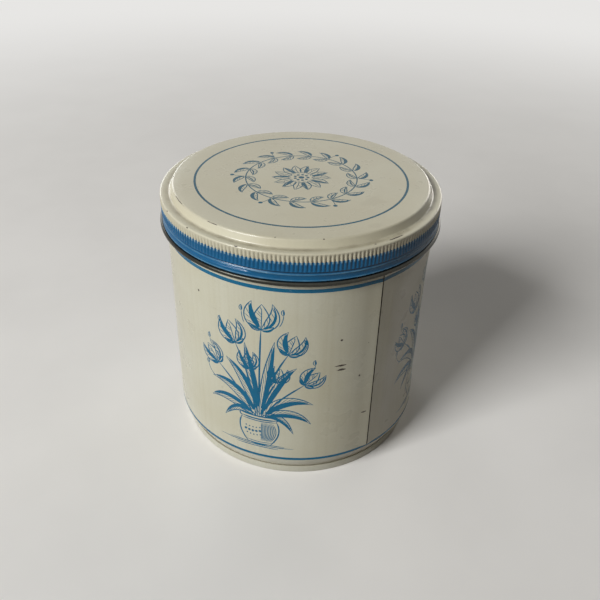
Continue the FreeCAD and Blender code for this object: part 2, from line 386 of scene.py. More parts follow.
def potted_flowers():
    """Generic pot of tall flowers: the wall's picture, on a plane of arc length and height."""
    drawing = Drawing()
    pen = 0.46
    foot = PICTURE_FOOT + 3.2

    def at(across, up):
        return Vector((across, foot + up))

    for level, half in ((0.0, 13.0), (-0.8, 17.5), (-1.6, 10.0)):
        drawing.line(strand(at(-half, level), at(0, level + 0.5), at(half * 0.8, level)), 0.4)
    add_pot(drawing, at)
    flowers = (
        (-17.0, 36.0, -38, 8.6),
        (-9.0, 48.5, -16, 9.8),
        (1.4, 57.0, 2, 11.2),
        (11.4, 47.0, 18, 9.4),
        (17.6, 33.0, 44, 8.2),
        (-3.4, 38.0, -8, 7.6),
        (7.0, 33.5, 14, 7.2),
    )
    for across, up, lean, size in flowers:
        drawing.line(strand(at(across * 0.14, 14.6), at(across * 0.25, up * 0.7), at(across, up)), 0.72)
        tulip(drawing, at(across, up), lean, size, pen)
    leaves = (
        (-1, 15.2, -8.5, 31.0, -20.5, 28.0, 2.2), (1, 15.0, 9.5, 29.0, 21.2, 23.0, 2.2),
        (-0.6, 16.0, -4.5, 35.0, -13.4, 40.5, 1.9), (0.8, 16.0, 6.5, 35.0, 14.6, 41.0, 1.9),
        (0.2, 16.5, -3.2, 38.0, -5.2, 50.0, 1.7), (0.4, 16.0, 3.6, 38.0, 6.4, 52.5, 1.7),
        (-1.4, 15.0, -13.5, 24.5, -21.4, 17.5, 1.9), (1.4, 15.0, 13.0, 22.5, 20.6, 13.0, 1.8),
        (-1.2, 15.0, -9.0, 21.0, -15.0, 10.5, 1.5), (1.2, 15.0, 9.0, 19.5, 13.8, 7.6, 1.4),
    )
    for start, start_up, bend, bend_up, end, end_up, breadth in leaves:
        drawing.leaf(at(start, start_up), at(bend, bend_up), at(end, end_up), breadth, 10, pen, 0.9)
    buds = ((-21.0, 46), (-15.4, 56), (-6.0, 64), (9.6, 64.5), (18.0, 52.0), (21.4, 42.5), (-22.4, 33))
    for across, up in buds:
        drawing.line(strand(at(across * 0.84, up - 5.2), at(across, up - 2.8), at(across, up)), 0.32)
        tip = at(across, up + 2.4)
        drawing.leaf(at(across, up - 0.2), at(across - 0.5, up + 1.2), tip, 0.55, 0, 0.3, 1.0)
    return drawing


def add_pot(drawing, at):
    """Round pot with a lip, rows of dots and a shaded side."""
    for side in (-1, 1):
        drawing.line(strand(at(side * 4.4, 0), at(side * 10.2, 7), at(side * 7.0, 13.5)), 0.6)
        drawing.line(strand(at(side * 7.0, 13.5), at(side * 8.3, 14.2), at(side * 7.8, 15.4)), 0.55)
    bands = ((0.4, 4.5, 0.7), (1.6, 5.6, 0.34), (12.9, 7.1, 0.45), (13.9, 7.1, 0.7), (15.4, 7.9, 0.66))
    for level, half, width in bands:
        drawing.line(strand(at(-half, level), at(0, level - 0.9), at(half, level)), width)
    for number in range(10):
        across = 1.2 + 0.6 * number
        bulge = 1 + 0.035 * number
        drawing.line(strand(at(across * 0.7, 2.1), at(across * bulge, 7), at(across * 0.86, 12.0)), 0.36)
    for number in range(5):
        sag = (number - 2) ** 2
        drawing.dot(at(-5.6 + 1.5 * number, 6.6 + 0.12 * sag), 0.6)
        drawing.dot(at(-5.4 + 1.45 * number, 8.6 + 0.1 * sag), 0.34)
        drawing.dot(at(-5.0 + 1.4 * number, 4.6 + 0.12 * sag), 0.34)


def wreath():
    """Generic wreath round a daisy: the lid's picture, on the plane of the panel."""
    drawing = Drawing()
    pen = 0.4
    radius = 21.5
    count = 18
    for quarter in range(4):
        arc = [(90 * quarter - 2 + 94 * index / 22) / 360 for index in range(23)]
        drawing.line([outward(turn) * radius for turn in arc], 0.5, False)
    for number in range(count):
        away = outward(number / count)
        onward = Vector((-away.y, away.x))
        root = away * radius
        for side, length in ((1, 6.4), (-1, 5.4)):
            tip = root + onward * length + away * side * length * 0.62
            bend = root + onward * length * 0.3 + away * side * length * 0.62
            drawing.leaf(root, bend, tip, 1.25, 4, pen, 0.85 if side > 0 else 0.5)
        if number % 3 == 0:
            berry = root + away * 5.4 - onward * 1.2
            drawing.line(strand(root, root + away * 3.2, berry), 0.27)
            drawing.dot(berry, 0.85)
    daisy(drawing, 11.5, 14, pen)
    return drawing


def print_plane(border, inside, drawing):
    """Cut a plane along a drawing's outlines.

    Gives the points, the triangles with their ink, and which points are border points.
    """
    places = [Vector(point) for point in border] + [Vector(point) for point in inside]
    edges = [(index, (index + 1) % len(border)) for index in range(len(border))]
    outlines = []
    for outline in drawing.outlines:
        outlines.append(list(range(len(places), len(places) + len(outline))))
        places.extend(outline)
    found, _, triangles, sources, _, inks = delaunay_2d_cdt(places, edges, outlines, 0, 1e-4)
    on_border = {}
    for number, origins in enumerate(sources):
        for origin in origins:
            if origin < len(border):
                on_border[number] = origin
    return found, [(triangle, bool(ink)) for triangle, ink in zip(triangles, inks)], on_border


def stitch(shell, plane, border, place, normal, ink_slot):
    """Put a printed plane into a shell, on the shell's own border points."""
    found, triangles, on_border = plane
    numbers = []
    for number, point in enumerate(found):
        if number in on_border:
            numbers.append(border[on_border[number]])
        else:
            numbers.append(shell.point(place(point)))
        shell.normals[numbers[-1]] = normal(point)
    for triangle, ink in triangles:
        corners = [numbers[number] for number in triangle]
        if len(set(corners)) == 3:
            shell.face(corners, ink_slot if ink else CREAM)


# The three pressed pieces of tinplate

def wall_columns():
    """Azimuths of the wall's points: even, with more at the lock seam and at the crease beside it."""
    offsets = (*LOCK_GAP, 0.34, 0.62, *LOCK_FOLD)
    extra = [LOCK_AZIMUTH + side * offset for offset in offsets for side in (-1, 1)]
    extra += [LOCK_AZIMUTH + DENT_START + step for step in (-0.25, 0, 0.25)]
    even = [azimuth for azimuth in range(-180, 180) if min(abs(azimuth - other) for other in extra) > 0.25]
    return np.array(sorted(even + extra + [LOCK_AZIMUTH]))


def lock_peak(offsets):
    """How far the wall rises to the lock seam at angles from it."""
    edge = WALL - TIN / 4
    half = math.radians(LOCK_HALF_ANGLE)
    peak = WALL + LOCK_PROUD
    run = Vector((edge * math.cos(half) - peak, edge * math.sin(half)))
    facing = Vector((run.y, -run.x)).normalized()
    angles = np.radians(np.abs(offsets))
    line = facing.x * peak / (np.cos(angles) * facing.x + np.sin(angles) * facing.y)
    lift = np.where(np.abs(offsets) < LOCK_HALF_ANGLE, line - WALL, -1)
    lift = (lift + np.sqrt(lift ** 2 + 0.0016)) / 2
    groove = LOCK_GROOVE * (1 - smooth_step(*LOCK_GAP, np.abs(offsets)))
    return np.where(np.abs(offsets) < LOCK_HALF_ANGLE, lift - groove, 0)


def dent(offsets, height):
    """How far the wall is pressed in to the right of the lock seam, at angles from the seam."""
    press = np.sin(np.pi / 2 * np.clip((offsets - DENT_START) / DENT_RUN, 0, 1))
    ease = 1 - smooth_step(DENT_START + DENT_RUN, DENT_END, offsets)
    upright = smooth_step(*DENT_FOOT, height) * (1 - smooth_step(*DENT_TOP, height))
    return DENT_DEPTH * press * ease * upright


def wall_profile():
    """Lines of (radius, height) round the wall: up the outside, over the curled mouth and down the inside."""
    picture_levels = list(np.linspace(PICTURE_FOOT, PICTURE_TOP, PICTURE_ROWS))
    bead_levels = list(np.arange(*BEAD_SPAN, BEAD_ROW))
    outside = rounded([
        (HOOK_OUTSIDE, HOOK_FOOT, 0), (HOOK_OUTSIDE, NECK_FOOT, 0.5), (WALL, NECK_TOP, 1.5),
        (WALL, PICTURE_FOOT, 0),
    ], 5)[:-1]
    levels = [*LOWER_STRIPE, LOWER_STRIPE[1] + 1.0, *picture_levels, *UPPER_STRIPE]
    levels += [LOCK_TOP - 2, PRINT_TOP, PRINT_TOP + 0.7, *bead_levels, RIM - 3.9, RIM - 3, RIM - 2]
    outside += [np.array([WALL, level]) for level in levels]
    lining = WALL - TIN
    mouth = WALL - CURL_WIDTH
    curl = rounded([
        (WALL, RIM - 1.35, 0), (WALL, RIM, 0.79), (mouth, RIM, 0.79), (mouth, RIM - CURL_HEIGHT, 0.7),
        (CURL_END, RIM - CURL_HEIGHT + 0.02, 0.1), (lining, RIM - 1.3, 0.04), (lining, RIM - 2.5, 0),
    ], 20)
    levels = [RIM - 3, RIM - 3.4, RIM - 3.9, *bead_levels[::-1], HEM_FOOT, UPPER_STRIPE[0]]
    levels += [*picture_levels[::-1], LOWER_STRIPE[1] + 1.0, NECK_TOP + 1]
    inside = [np.array([lining, level]) for level in levels]
    inside += rounded([
        (lining, NECK_TOP + 0.5, 0), (lining, NECK_TOP, 1.2), (HOOK_INSIDE, NECK_FOOT + TIN, 0.6),
        (HOOK_INSIDE, HOOK_FOOT, 0.12), (HOOK_OUTSIDE - 0.05, HOOK_FOOT, 0),
    ], 10)
    return outside, curl, inside


def make_wall(materials):
    """Rolled wall: one closed skin with the lock seam, thread beads, curled mouth and necked foot."""
    shell = Shell()
    azimuths = wall_columns()
    offsets = (azimuths - LOCK_AZIMUTH + 180) % 360 - 180
    peak = lock_peak(offsets)
    fold = LOCK_LAYERS * (1 - smooth_step(*LOCK_FOLD, np.abs(offsets)))
    outside, curl, inside = wall_profile()
    rows = []
    for number, (radius, height) in enumerate(outside + curl + inside):
        outer = number < len(outside)
        inner = number >= len(outside) + len(curl)
        radii = np.full(azimuths.shape, radius)
        if outer and radius == WALL:
            seamed = smooth_step(*LOWER_STRIPE, height) * (1 - smooth_step(LOCK_TOP - 2, LOCK_TOP, height))
            radii += peak * seamed - dent(offsets, height)
        if (outer or inner) and BEAD_SPAN[0] <= height <= BEAD_SPAN[1]:
            radii += BEAD_HEIGHT * thread(azimuths, height, BEAD_START, BEAD_HALF)
        if inner and radius == WALL - TIN and height > NECK_TOP:
            radii -= fold * (1 - smooth_step(RIM - 3.9, RIM - 3, height)) + dent(offsets, height)
        rows.append((shell.ring(radii, height, azimuths), height, outer))
    window_columns = picture_columns(azimuths)
    gap_columns = {int(number) for number in np.nonzero(np.abs(offsets) < LOCK_GAP[1] + 0.05)[0]}
    for index, (ring, height, outer) in enumerate(rows):
        following, next_height, next_outer = rows[(index + 1) % len(rows)]
        middle = (height + next_height) / 2
        slot = CREAM if outer and next_outer and PRINT_FOOT < middle < PRINT_TOP else METAL
        if slot == CREAM and any(low < middle < high for low, high in (LOWER_STRIPE, UPPER_STRIPE)):
            slot = BLUE
        pictured = outer and next_outer and PICTURE_FOOT < middle < PICTURE_TOP
        skip = window_columns if pictured else ()
        dark = gap_columns if height > LOWER_STRIPE[0] else ()
        shell.join(ring, following, slot, skip, dark)
    add_pictures(shell, azimuths, [(ring, height) for ring, height, outer in rows if outer])
    return shell.build("printed_wall", materials)


def picture_columns(azimuths):
    """Numbers of the columns that the pictures take."""
    taken = set()
    for centre in PICTURE_AZIMUTHS:
        offsets = (azimuths + 0.5 - centre + 180) % 360 - 180
        taken.update(int(number) for number in np.nonzero(np.abs(offsets) < PICTURE_HALF_ANGLE)[0])
    return taken


def add_pictures(shell, azimuths, rows):
    """Cut the same drawing into the wall four times."""
    drawing = potted_flowers()
    per_degree = math.radians(1) * WALL
    rows = [(ring, height) for ring, height in rows if PICTURE_FOOT - 0.01 < height < PICTURE_TOP + 0.01]
    heights = [height for ring, height in rows]
    steps = list(range(-PICTURE_HALF_ANGLE, PICTURE_HALF_ANGLE + 1))
    spots = [(steps[0], row) for row in range(len(rows))][::-1]
    spots += [(step, 0) for step in steps[1:]]
    spots += [(steps[-1], row) for row in range(1, len(rows))]
    spots += [(step, len(rows) - 1) for step in steps[-2:0:-1]]
    border = [(step * per_degree, heights[row]) for step, row in spots]
    inside = [(step * per_degree, height) for step in steps[1:-1] for height in heights[1:-1]]
    plane = print_plane(border, inside, drawing)
    for centre in PICTURE_AZIMUTHS:
        columns = {}
        for step in steps:
            wanted = (centre + step + 180) % 360 - 180
            columns[step] = int(np.argmin(np.abs(azimuths - wanted)))
        numbers = [rows[row][0][columns[step]] for step, row in spots]

        def place(point, centre=centre):
            azimuth = centre + math.degrees(point.x / WALL)
            offset = (azimuth - LOCK_AZIMUTH + 180) % 360 - 180
            radius = WALL - float(dent(offset, point.y))
            angle = math.radians(azimuth)
            return Vector((radius * math.sin(angle), -radius * math.cos(angle), point.y))

        def normal(point, place=place):
            step = 0.05
            across = place(point + Vector((step, 0))) - place(point - Vector((step, 0)))
            up = place(point + Vector((0, step))) - place(point - Vector((0, step)))
            return across.cross(up).normalized()

        stitch(shell, plane, numbers, place, normal, BLUE)


def make_base(materials):
    """Pressed bottom: one closed skin with the outer layers of the double seam and the sunk panel."""
    shell = Shell()
    azimuths = np.linspace(-180, 180, 360, endpoint=False)
    panel = PANEL_SINK - STEP_RISE
    path = rounded([
        (BASE_CAP, panel, 0), (STEP_RADIUS - 0.6, panel, 1.2), (STEP_RADIUS + 0.6, PANEL_SINK, 1.2),
        (CHUCK_INSIDE, PANEL_SINK, 0.55), (CHUCK_INSIDE, 0, 0.4), (SEAM, 0, 0.42), (SEAM, SEAM_TOP, 0.16),
        (FOLD_INSIDE, SEAM_TOP, 0.1), (FOLD_INSIDE, TIN, 0.25), (CHUCK_OUTSIDE, TIN, 0.2),
        (CHUCK_OUTSIDE, PANEL_SINK + TIN, 0.28), (STEP_RADIUS + 0.46, PANEL_SINK + TIN, 1.0),
        (STEP_RADIUS - 0.74, panel + TIN, 1.0), (BASE_CAP, panel + TIN, 0),
    ])
    rings = [shell.ring(radius, height, azimuths) for radius, height in path]
    for index in range(len(path) - 1):
        radius = (path[index][0] + path[index + 1][0]) / 2
        height = (path[index][1] + path[index + 1][1]) / 2
        painted = radius > FOLD_INSIDE + 0.3 and height > 0.06
        shell.join(rings[index], rings[index + 1], CREAM if painted else METAL)
    shell.cap(rings[0], panel, METAL)
    shell.cap(rings[-1], panel + TIN, METAL)
    return shell.build("seamed_base", materials)


def knurl_columns():
    """Azimuths of the knurled rings, and how deep the flute is at each, from 0 to 1."""
    phases = (0.0, 0.1, 0.2, 0.33, 0.5, 0.67, 0.8, 0.9)
    depths = (1.0, 0.94, 0.52, 0.1, 0.0, 0.1, 0.52, 0.94)
    azimuths = []
    for number in range(KNURL_COUNT):
        azimuths += [(number + phase) * 360 / KNURL_COUNT - 180 for phase in phases]
    return np.array(azimuths), np.tile(depths, KNURL_COUNT)


def lid_profile():
    """Lines of (radius, height) round the lid: top, knurled skirt, plain band, curled hem and lining."""
    top = rounded([
        (PICTURE_RADIUS, PANEL, 0), (RING[0], PANEL, 0), (RING[1], PANEL, 0), (PANEL_FLAT, PANEL, 0),
        (RISER_TOP, PANEL, 0.9), (RISER_FOOT - 0.1, GUTTER, 0.8), (GUTTER_END, SHOULDER, 0),
    ], 12)
    shoulder = SHOULDER - 0.02
    skirt = rounded([
        (SHOULDER_START, shoulder, 0), (KNURL, shoulder, SHOULDER_ROUND), (KNURL, KNURL_TOP - 0.3, 0),
    ], 15)
    levels = [KNURL_TOP - below for below in (0.6, 1.0, 1.5, 2.1)] + [SKIRT_PRINT]
    levels += [KNURL_FOOT + above for above in (1.4, 0.6)]
    skirt += [np.array([KNURL, level]) for level in levels]
    skirt += rounded([
        (KNURL, KNURL_FOOT + 0.3, 0), (KNURL, KNURL_FOOT, 0.2), (KNURL - 0.3, KNURL_FOOT - 0.02, 0),
    ], 30)
    band = [np.array([radius, KNURL_FOOT + above]) for radius, above in KNURL_GROOVE]
    band += [np.array([BAND, level]) for level in np.arange(band[-1][1] - 0.2, HEM_TOP + 0.9, -0.15)]
    band += [np.array([radius, HEM_TOP + above]) for radius, above in HEM_LIP]
    hem = rounded([
        (BAND, HEM_TOP - 0.05, 0), (BAND + 0.05, HEM_TOP - 0.5, 0.05), (BAND + 0.17, HEM_TOP, 0.12),
        (HEM, HEM_TOP, 0.66), (HEM, HEM_FOOT, 0.66), (SKIRT, HEM_FOOT, 0.5), (SKIRT, HEM_TOP - 0.4, 0),
    ], 20)
    lining = [np.array([SKIRT, level]) for level in np.arange(HEM_TOP, RIDGE_START + 1.7, 0.16)]
    lining += rounded([
        (SKIRT, KNURL_FOOT + 1, 0), (SKIRT, SHOULDER - TIN, 0.3), (RISER_FOOT - TIN, GUTTER - TIN, 0.5),
        (RISER_TOP - TIN, PANEL - TIN, 0.7), (LID_CAP, PANEL - TIN, 0),
    ], 20)
    return top, skirt, band, hem, lining


def make_lid(materials):
    """Pressed lid: one closed skin with raised panel, gutter, knurled skirt, rolled thread and curled hem."""
    shell = Shell()
    fine, flutes = knurl_columns()
    coarse = fine[::4]
    top, skirt, band, hem, lining = lid_profile()
    rows = []
    for radius, height in top:
        rows.append((shell.ring(radius, height - dish(radius), coarse), CREAM))
    for radius, height in skirt:
        depth = smooth_step(KNURL_TOP + 0.3, KNURL_TOP - 1.3, height)
        depth *= smooth_step(KNURL_FOOT, KNURL_FOOT + 0.47, height)
        depth *= 0.66 + 0.34 * smooth_step(SKIRT_PRINT - 1.5, SKIRT_PRINT, height)
        ring = shell.ring(radius - FLUTE_DEPTH * depth * flutes, height, fine)
        rows.append((ring, CREAM if height > SKIRT_PRINT + 0.01 else BLUE))
    for radius, height in band:
        ridge = RIDGE_DEPTH * thread(coarse, height, RIDGE_START, RIDGE_HALF)
        rows.append((shell.ring(radius - ridge, height, coarse), BLUE))
    for radius, height in hem:
        rows.append((shell.ring(radius, height, coarse), METAL))
    for radius, height in lining:
        threaded = height < KNURL_FOOT
        ridge = RIDGE_DEPTH * thread(coarse, height, RIDGE_START, RIDGE_HALF) if threaded else 0
        rows.append((shell.ring(radius - ridge, height, coarse), METAL))
    for index in range(len(rows) - 1):
        ring, slot = rows[index]
        printed_ring = index == 1
        shell.join(ring, rows[index + 1][0], LID_PRINT if printed_ring else slot)
    shell.cap(rows[-1][0], PANEL - TIN, METAL)
    add_lid_picture(shell, rows[0][0])
    return shell.build("knurled_lid", materials)


def add_lid_picture(shell, ring):
    """Cut the wreath into the lid's panel, inside its innermost ring of points."""
    border = [tuple(shell.points[number][:2]) for number in ring]
    grid = np.arange(-36, 37, 4)
    inside = [(x, y) for x in grid for y in grid if math.hypot(x, y) < PICTURE_RADIUS - 2]
    plane = print_plane(border, inside, wreath())
    stitch(
        shell, plane, ring,
        lambda point: (point.x, point.y, PANEL - dish(point.length)),
        lambda point: (0, 0, 1),
        LID_PRINT,
    )


def dish(radius):
    """How far the panel sinks at a radius: a pressed panel is never quite flat."""
    return 0.12 * (1 - smooth_step(20.0, 47.0, radius))


# Materials

def ink(red, green, blue):
    """Linear colour of a screen colour from 0 to 255."""
    steps = [level / 255 for level in (red, green, blue)]
    linear = [step / 12.92 if step < 0.04045 else ((step + 0.055) / 1.055) ** 2.4 for step in steps]
    return (*linear, 1)


class Paint:
    """Short ways to add nodes to one material."""

    def __init__(self, name, metallic=0.0, specular=0.5, coat=0.0, coat_roughness=0.1):
        self.material = bpy.data.materials.new(name)
        self.material.use_nodes = True
        self.tree = self.material.node_tree
        self.shader = self.tree.nodes["Principled BSDF"]
        self.shader.inputs["Metallic"].default_value = metallic
        self.shader.inputs["Specular IOR Level"].default_value = specular
        self.shader.inputs["Coat Weight"].default_value = coat
        self.shader.inputs["Coat Roughness"].default_value = coat_roughness
        self.place = self.tree.nodes.new("ShaderNodeTexCoord").outputs["Object"]

    def put(self, value, socket):
        if isinstance(value, bpy.types.NodeSocket):
            self.tree.links.new(value, socket)
        else:
            socket.default_value = value

    def math(self, operation, first, second=0.0):
        node = self.tree.nodes.new("ShaderNodeMath")
        node.operation = operation
        for socket, value in zip(node.inputs, (first, second)):
            self.put(value, socket)
        return node.outputs[0]

    def away(self, value, level):
        """Distance of a value from a level."""
        return self.math("ABSOLUTE", self.math("SUBTRACT", value, level))

    def stretch(self, scale):
        node = self.tree.nodes.new("ShaderNodeMapping")
        node.inputs["Scale"].default_value = scale
        self.put(self.place, node.inputs["Vector"])
        return node.outputs[0]

    def noise(self, scale, detail, place=None):
        node = self.tree.nodes.new("ShaderNodeTexNoise")
        node.inputs["Scale"].default_value = scale
        node.inputs["Detail"].default_value = detail
        node.inputs["Roughness"].default_value = 0.55
        self.put(place or self.place, node.inputs["Vector"])
        return node.outputs[0]

    def specks(self, scale, share, size):
        """Mask of scattered specks: a share of the cells of a pattern has one."""
        node = self.tree.nodes.new("ShaderNodeTexVoronoi")
        node.inputs["Scale"].default_value = scale
        self.put(self.place, node.inputs["Vector"])
        parts = self.tree.nodes.new("ShaderNodeSeparateColor")
        self.put(node.outputs["Color"], parts.inputs[0])
        chosen = self.math("GREATER_THAN", parts.outputs[0], 1 - share)
        reach = self.math("MULTIPLY", parts.outputs[1], size)
        near = self.math("LESS_THAN", node.outputs["Distance"], reach)
        return self.math("MULTIPLY", chosen, near)

    def span(self, value, low, high, start=0.0, end=1.0):
        """Map a value smoothly from one span to another."""
        node = self.tree.nodes.new("ShaderNodeMapRange")
        node.interpolation_type = "SMOOTHSTEP"
        for socket, number in zip(node.inputs, (value, low, high, start, end)):
            self.put(number, socket)
        return node.outputs[0]

    def mix(self, share, first, second):
        node = self.tree.nodes.new("ShaderNodeMix")
        node.data_type = "RGBA"
        for number, value in ((0, share), (6, first), (7, second)):
            self.put(value, node.inputs[number])
        return node.outputs[2]

    def around(self):
        """Azimuth in degrees, radius and height in millimetres of a shaded point."""
        parts = self.tree.nodes.new("ShaderNodeSeparateXYZ")
        self.put(self.place, parts.inputs[0])
        x, y, z = parts.outputs
        back = self.math("MULTIPLY", y, -1.0)
        azimuth = self.math("MULTIPLY", self.math("ARCTAN2", x, back), 180 / math.pi)
        square = self.math("ADD", self.math("MULTIPLY", x, x), self.math("MULTIPLY", y, y))
        radius = self.math("MULTIPLY", self.math("SQRT", square), 1000.0)
        return azimuth, radius, self.math("MULTIPLY", z, 1000.0)

    def blots(self, across, along, spots, ragged):
        """Mask of single marks: ellipses (across, along, half width, half length) with ragged edges."""
        broken = self.math("ADD", self.noise(700.0, 2.0), self.noise(3200.0, 3.0))
        edge = self.math("MULTIPLY", self.math("SUBTRACT", broken, 1.0), ragged)
        total = 0.0
        for middle, level, wide, tall in spots:
            first = self.math("DIVIDE", self.math("SUBTRACT", across, middle), wide)
            second = self.math("DIVIDE", self.math("SUBTRACT", along, level), tall)
            first = self.math("MULTIPLY", first, first)
            second = self.math("MULTIPLY", second, second)
            reach = self.math("ADD", self.math("ADD", first, second), edge)
            inside = self.math("LESS_THAN", reach, 1.0)
            total = self.math("MAXIMUM", total, inside)
        return total

    def finish(self, colour, roughness, bump=None, lift=0.00005, strength=0.3):
        self.put(colour, self.shader.inputs["Base Color"])
        self.put(roughness, self.shader.inputs["Roughness"])
        if bump is not None:
            node = self.tree.nodes.new("ShaderNodeBump")
            node.inputs["Strength"].default_value = strength
            node.inputs["Distance"].default_value = lift
            self.put(bump, node.inputs["Height"])
            self.put(node.outputs[0], self.shader.inputs["Normal"])
        return self.material


CHIP = ink(52, 42, 34)
# Colour of the dust specks, and of the darkening, which on the wall is painted shade along the crease
DIRT_AND_SHADE = ink(92, 78, 56)

# Marks that the photo shows: azimuth, height on the wall or radius and drop on the lid, and half sizes
WALL_MARKS = (
    (18.0, 57.3, 2.4, 0.42), (18.2, 55.3, 1.9, 0.4), (17.6, 69.1, 0.5, 0.4), (26.8, 50.2, 0.35, 0.45),
    (30.6, 30.2, 1.2, 0.36), (-44.0, 81.2, 0.45, 0.4),
)
LID_MARKS = (
    (-63.0, 49.45, 5.0, 0.2), (-37.2, 49.5, 2.6, 0.2), (38.0, 55.7, 3.6, 0.3), (28.7, 55.6, 0.5, 0.25),
    (-62.0, 57.3, 0.5, 0.35), (-46.0, 57.1, 0.5, 0.35), (-9.6, 49.0, 0.35, 0.22), (9.2, 49.4, 0.35, 0.25),
    (-88.0, 49.4, 1.0, 0.25), (-23.0, 57.0, 0.6, 0.3), (112.0, 49.45, 3.4, 0.2), (171.0, 55.9, 2.8, 0.3),
)


def flute_mask(paint, radius, height):
    """Mask of the flutes between the knurls, which are darkened and where ink ran."""
    deep = paint.span(radius, KNURL - 0.17, KNURL - 0.33)
    low = paint.span(height, KNURL_FOOT + 0.05, KNURL_FOOT + 0.4)
    inside = paint.math("MULTIPLY", low, paint.span(height, KNURL_TOP + 0.3, KNURL_TOP - 0.3))
    return paint.math("MULTIPLY", deep, inside)


def wall_wear_and_painted_light(paint, colour, height, crease, neck):
    """Painted light on the down-facing neck, upright streaks, and painted shade along the crease of the foot.
    Gives the colour and the painted shade.
    """
    # Painted light: the neck, which faces down, is lightened towards a pale cream
    painted_neck_light = paint.span(height, NECK_TOP + 0.4, NECK_TOP - 1.2, 0.0, neck)
    colour = paint.mix(painted_neck_light, colour, ink(230, 230, 214))
    brushed = paint.span(paint.noise(1.0, 3.0, paint.stretch((700.0, 700.0, 6.0))), 0.4, 0.7, 0.0, 0.1)
    colour = paint.mix(brushed, colour, ink(168, 160, 124))
    # Painted shade: a dark line along the crease at the foot
    return colour, paint.span(paint.away(height, crease), 0.35, 0.1, 0.0, 0.3)


def lid_wear(paint, colour, radius, height):
    """Darker patches in the gutter, flutes darker lower down, and ink that ran up the flutes. Gives the
    colour and the darkening.
    """
    gutter = paint.math(
        "MULTIPLY",
        paint.span(radius, RISER_FOOT - 0.4, RISER_FOOT + 0.1),
        paint.span(radius, RISER_FOOT + 2.4, RISER_FOOT + 1.0),
    )
    gutter = paint.math("MULTIPLY", gutter, paint.span(paint.noise(140.0, 4.0), 0.3, 0.75, 0.12, 0.5))
    flutes = flute_mask(paint, radius, height)
    flute_darkness = paint.span(height, KNURL_TOP, SKIRT_PRINT, 0.06, 0.34)
    darkening = paint.math("MAXIMUM", gutter, paint.math("MULTIPLY", flutes, flute_darkness))
    edge = paint.math("ADD", height, paint.math("MULTIPLY", paint.noise(420.0, 2.0), 1.4))
    stained = paint.span(edge, SKIRT_PRINT + 1.5, SKIRT_PRINT + 0.7, 0.0, 0.7)
    return paint.mix(paint.math("MULTIPLY", flutes, stained), colour, ink(24, 62, 84)), darkening


def cream_paint(name, marks, on_wall, tone, shade, crease=NECK_FOOT, neck=0.9):
    """Aged cream lacquer over tinplate, with yellowing, specks, scuffs and chips, darker in the lid's gutter
    and flutes, and on the wall painted light on the neck and painted shade along the foot's crease.
    """
    paint = Paint(name, specular=0.45, coat=0.2, coat_roughness=0.15)
    azimuth, radius, height = paint.around()
    colour = paint.mix(paint.span(paint.noise(30.0, 3.0), 0.3, 0.7), tone, shade)
    grain = paint.span(paint.noise(1500.0, 2.0), 0.3, 0.7)
    colour = paint.mix(paint.math("MULTIPLY", grain, 0.06), colour, ink(140, 132, 104))
    if on_wall:
        along = height
        colour, darkening = wall_wear_and_painted_light(paint, colour, height, crease, neck)
    else:
        along = paint.math("ADD", radius, paint.math("SUBTRACT", PANEL, height))
        colour, darkening = lid_wear(paint, colour, radius, height)
    # Darkening: painted shade along the crease on the wall; a darker gutter and darker flutes on the lid
    colour = paint.mix(darkening, colour, DIRT_AND_SHADE)
    dust = paint.specks(420.0, 0.035, 0.13)
    colour = paint.mix(paint.math("MULTIPLY", dust, 0.6), colour, DIRT_AND_SHADE)
    streaks = paint.span(paint.noise(1.0, 2.0, paint.stretch((60.0, 60.0, 1400.0))), 0.7, 0.76)
    colour = paint.mix(paint.math("MULTIPLY", streaks, 0.1), colour, ink(126, 116, 92))
    chips = paint.blots(azimuth, along, marks, 2.4)
    colour = paint.mix(chips, colour, CHIP)
    smudges = paint.span(paint.noise(70.0, 4.0), 0.3, 0.75, 0.26, 0.4)
    roughness = paint.math("ADD", smudges, paint.math("MULTIPLY", chips, 0.3))
    skin = paint.math("ADD", paint.noise(55.0, 2.0), paint.math("MULTIPLY", paint.noise(1900.0, 2.0), 0.04))
    skin = paint.math("SUBTRACT", skin, paint.math("MULTIPLY", chips, 0.6))
    return paint.finish(colour, roughness, skin, 0.0001, 0.2)


